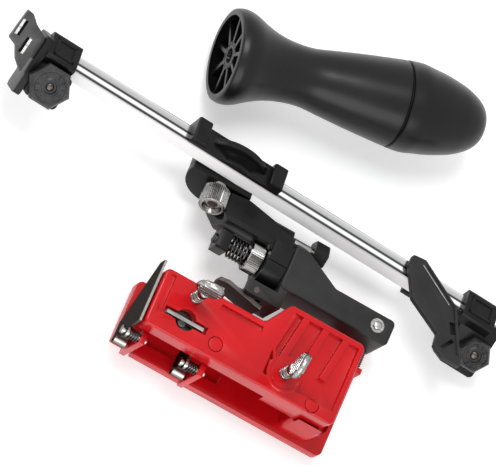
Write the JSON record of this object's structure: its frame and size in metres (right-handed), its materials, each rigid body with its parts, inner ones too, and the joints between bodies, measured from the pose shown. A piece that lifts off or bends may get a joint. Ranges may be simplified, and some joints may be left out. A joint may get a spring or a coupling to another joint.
{
  "type": "bar mounted chainsaw sharpener",
  "caption": "Chainsaw sharpener that clamps onto the saw's guide bar: a swinging arm carries a tilting, swivelling guide for a sliding bar that holds a round file.",
  "frame": {"origin": "middle of the whole part's footprint, on the table it lies on", "axes": "+X along the clamp plates towards the arm's hinge, +Y the plates' up in use, +Z out of the front plate, up from the table"},
  "size_m": [0.2442, 0.1694, 0.061],
  "materials": {
    "red_paint": "gloss",
    "zinc_steel": "satin",
    "knurled_steel": "satin",
    "spring_steel": "satin",
    "chrome_bar": "polished",
    "dark_steel": "satin",
    "black_gloss": "gloss",
    "black_satin": "satin",
    "grey_plastic": "satin"
  },
  "bodies": {
    "clamp": {"front_plate": "red_paint", "rear_plate": "red_paint", "plate_screws": "zinc_steel", "locating_key": "dark_steel", "key_washer": "dark_steel", "flap_pin_left": "zinc_steel", "flap_pin_right": "zinc_steel", "flap_spring_left": "spring_steel", "flap_spring_right": "spring_steel", "hinge_pin": "zinc_steel"},
    "thumb_left": {"thumb_screw_left": "zinc_steel", "pressure_pad_left": "zinc_steel"},
    "thumb_right": {"thumb_screw_right": "zinc_steel", "pressure_pad_right": "zinc_steel"},
    "flap_left_leaf": {"flap_left": "zinc_steel"},
    "flap_right_leaf": {"flap_right": "zinc_steel"},
    "arm": {"swing_arm": "black_gloss", "hinge_bush": "zinc_steel", "stop_pin": "zinc_steel", "tilt_stud": "zinc_steel", "square_nut": "black_gloss", "tilt_spring": "spring_steel", "return_spring": "spring_steel", "spring_post": "zinc_steel"},
    "tooth_blade": {"tooth_stop": "zinc_steel"},
    "column": {"tilt_column": "black_gloss", "tilt_clamp_screw": "zinc_steel"},
    "stop_nut": {"knurled_nut": "knurled_steel"},
    "tilt_clamp_knob": {"tilt_knob": "black_gloss"},
    "guide": {"swivel_guide": "black_satin", "swivel_bolt": "zinc_steel"},
    "lock_nut": {"lock_knob": "knurled_steel"},
    "filing_frame": {"filing_bar": "chrome_bar", "bracket_left": "black_satin", "jaw_left": "grey_plastic", "jaw_strips": "zinc_steel", "bracket_right": "black_satin", "paddle_right": "grey_plastic", "bracket_screws": "zinc_steel", "knob_screw_left": "zinc_steel", "knob_screw_right": "zinc_steel"},
    "knob_left": {"file_knob_left": "black_satin"},
    "knob_right": {"file_knob_right": "black_satin"},
    "handle": {"grip": "black_gloss", "file_socket": "zinc_steel", "end_cap": "black_gloss"}
  },
  "joints": [
    {"name": "thumb_left_screwing", "type": "slide", "parent": "clamp", "child": "thumb_left", "axis": [0, 0, 1], "range_m": [-0.009, 0.002]},
    {"name": "thumb_right_screwing", "type": "slide", "parent": "clamp", "child": "thumb_right", "axis": [0, 0, 1], "range_m": [-0.009, 0.002]},
    {"name": "flap_left_hinge", "type": "hinge", "parent": "clamp", "child": "flap_left_leaf", "pos_m": [-0.02669, -0.08228, 0.02677], "axis": [1, 0, 0], "range_deg": [0, 20], "stiffness_Nm_per_rad": 0.02},
    {"name": "flap_right_hinge", "type": "hinge", "parent": "clamp", "child": "flap_right_leaf", "pos_m": [0.00081, -0.08228, 0.02677], "axis": [1, 0, 0], "range_deg": [0, 10], "stiffness_Nm_per_rad": 0.02},
    {"name": "arm_lift", "type": "hinge", "parent": "clamp", "child": "arm", "pos_m": [0.06811, -0.02828, 0.02997], "axis": [0, 0, 1], "range_deg": [-85, 0]},
    {"name": "tooth_stop_flip", "type": "hinge", "parent": "arm", "child": "tooth_blade", "pos_m": [0.01571, -0.04027, 0.02027], "axis": [0, 0, 1], "range_deg": [-20, 14]},
    {"name": "head_tilt", "type": "hinge", "parent": "arm", "child": "column", "pos_m": [0.02351, -0.02577, 0.02027], "axis": [1, 0, 0], "range_deg": [-15, 30]},
    {"name": "stop_nut_spin", "type": "hinge", "parent": "arm", "child": "stop_nut", "pos_m": [0.00821, -0.02577, 0.02027], "axis": [1, 0, 0], "continuous": true},
    {"name": "tilt_knob_spin", "type": "hinge", "parent": "column", "child": "tilt_clamp_knob", "pos_m": [0.03371, -0.00948, 0.01727], "axis": [1, 0, 0], "continuous": true},
    {"name": "guide_swivel", "type": "hinge", "parent": "column", "child": "guide", "pos_m": [-0.01389, -0.00537, 0.02027], "axis": [0, 0.9659, -0.2588], "range_deg": [-90, 90]},
    {"name": "lock_nut_spin", "type": "hinge", "parent": "column", "child": "lock_nut", "pos_m": [-0.01389, -0.00537, 0.02027], "axis": [0, 0.9659, -0.2588], "continuous": true},
    {"name": "bar_slide", "type": "slide", "parent": "guide", "child": "filing_frame", "axis": [0.9979, -0.0167, -0.0623], "range_m": [-0.025, 0.045]},
    {"name": "knob_left_spin", "type": "hinge", "parent": "filing_frame", "child": "knob_left", "pos_m": [-0.09909, -0.00898, 0.03383], "axis": [0.0456, -0.5004, 0.8646], "continuous": true},
    {"name": "knob_right_spin", "type": "hinge", "parent": "filing_frame", "child": "knob_right", "pos_m": [0.11447, -0.01258, 0.01573], "axis": [0.0456, -0.5004, 0.8646], "continuous": true},
    {"name": "handle_pull", "type": "slide", "parent": "filing_frame", "child": "handle", "axis": [0.9699, 0.2436, 0], "range_m": [-0.02, 0.05]}
  ]
}
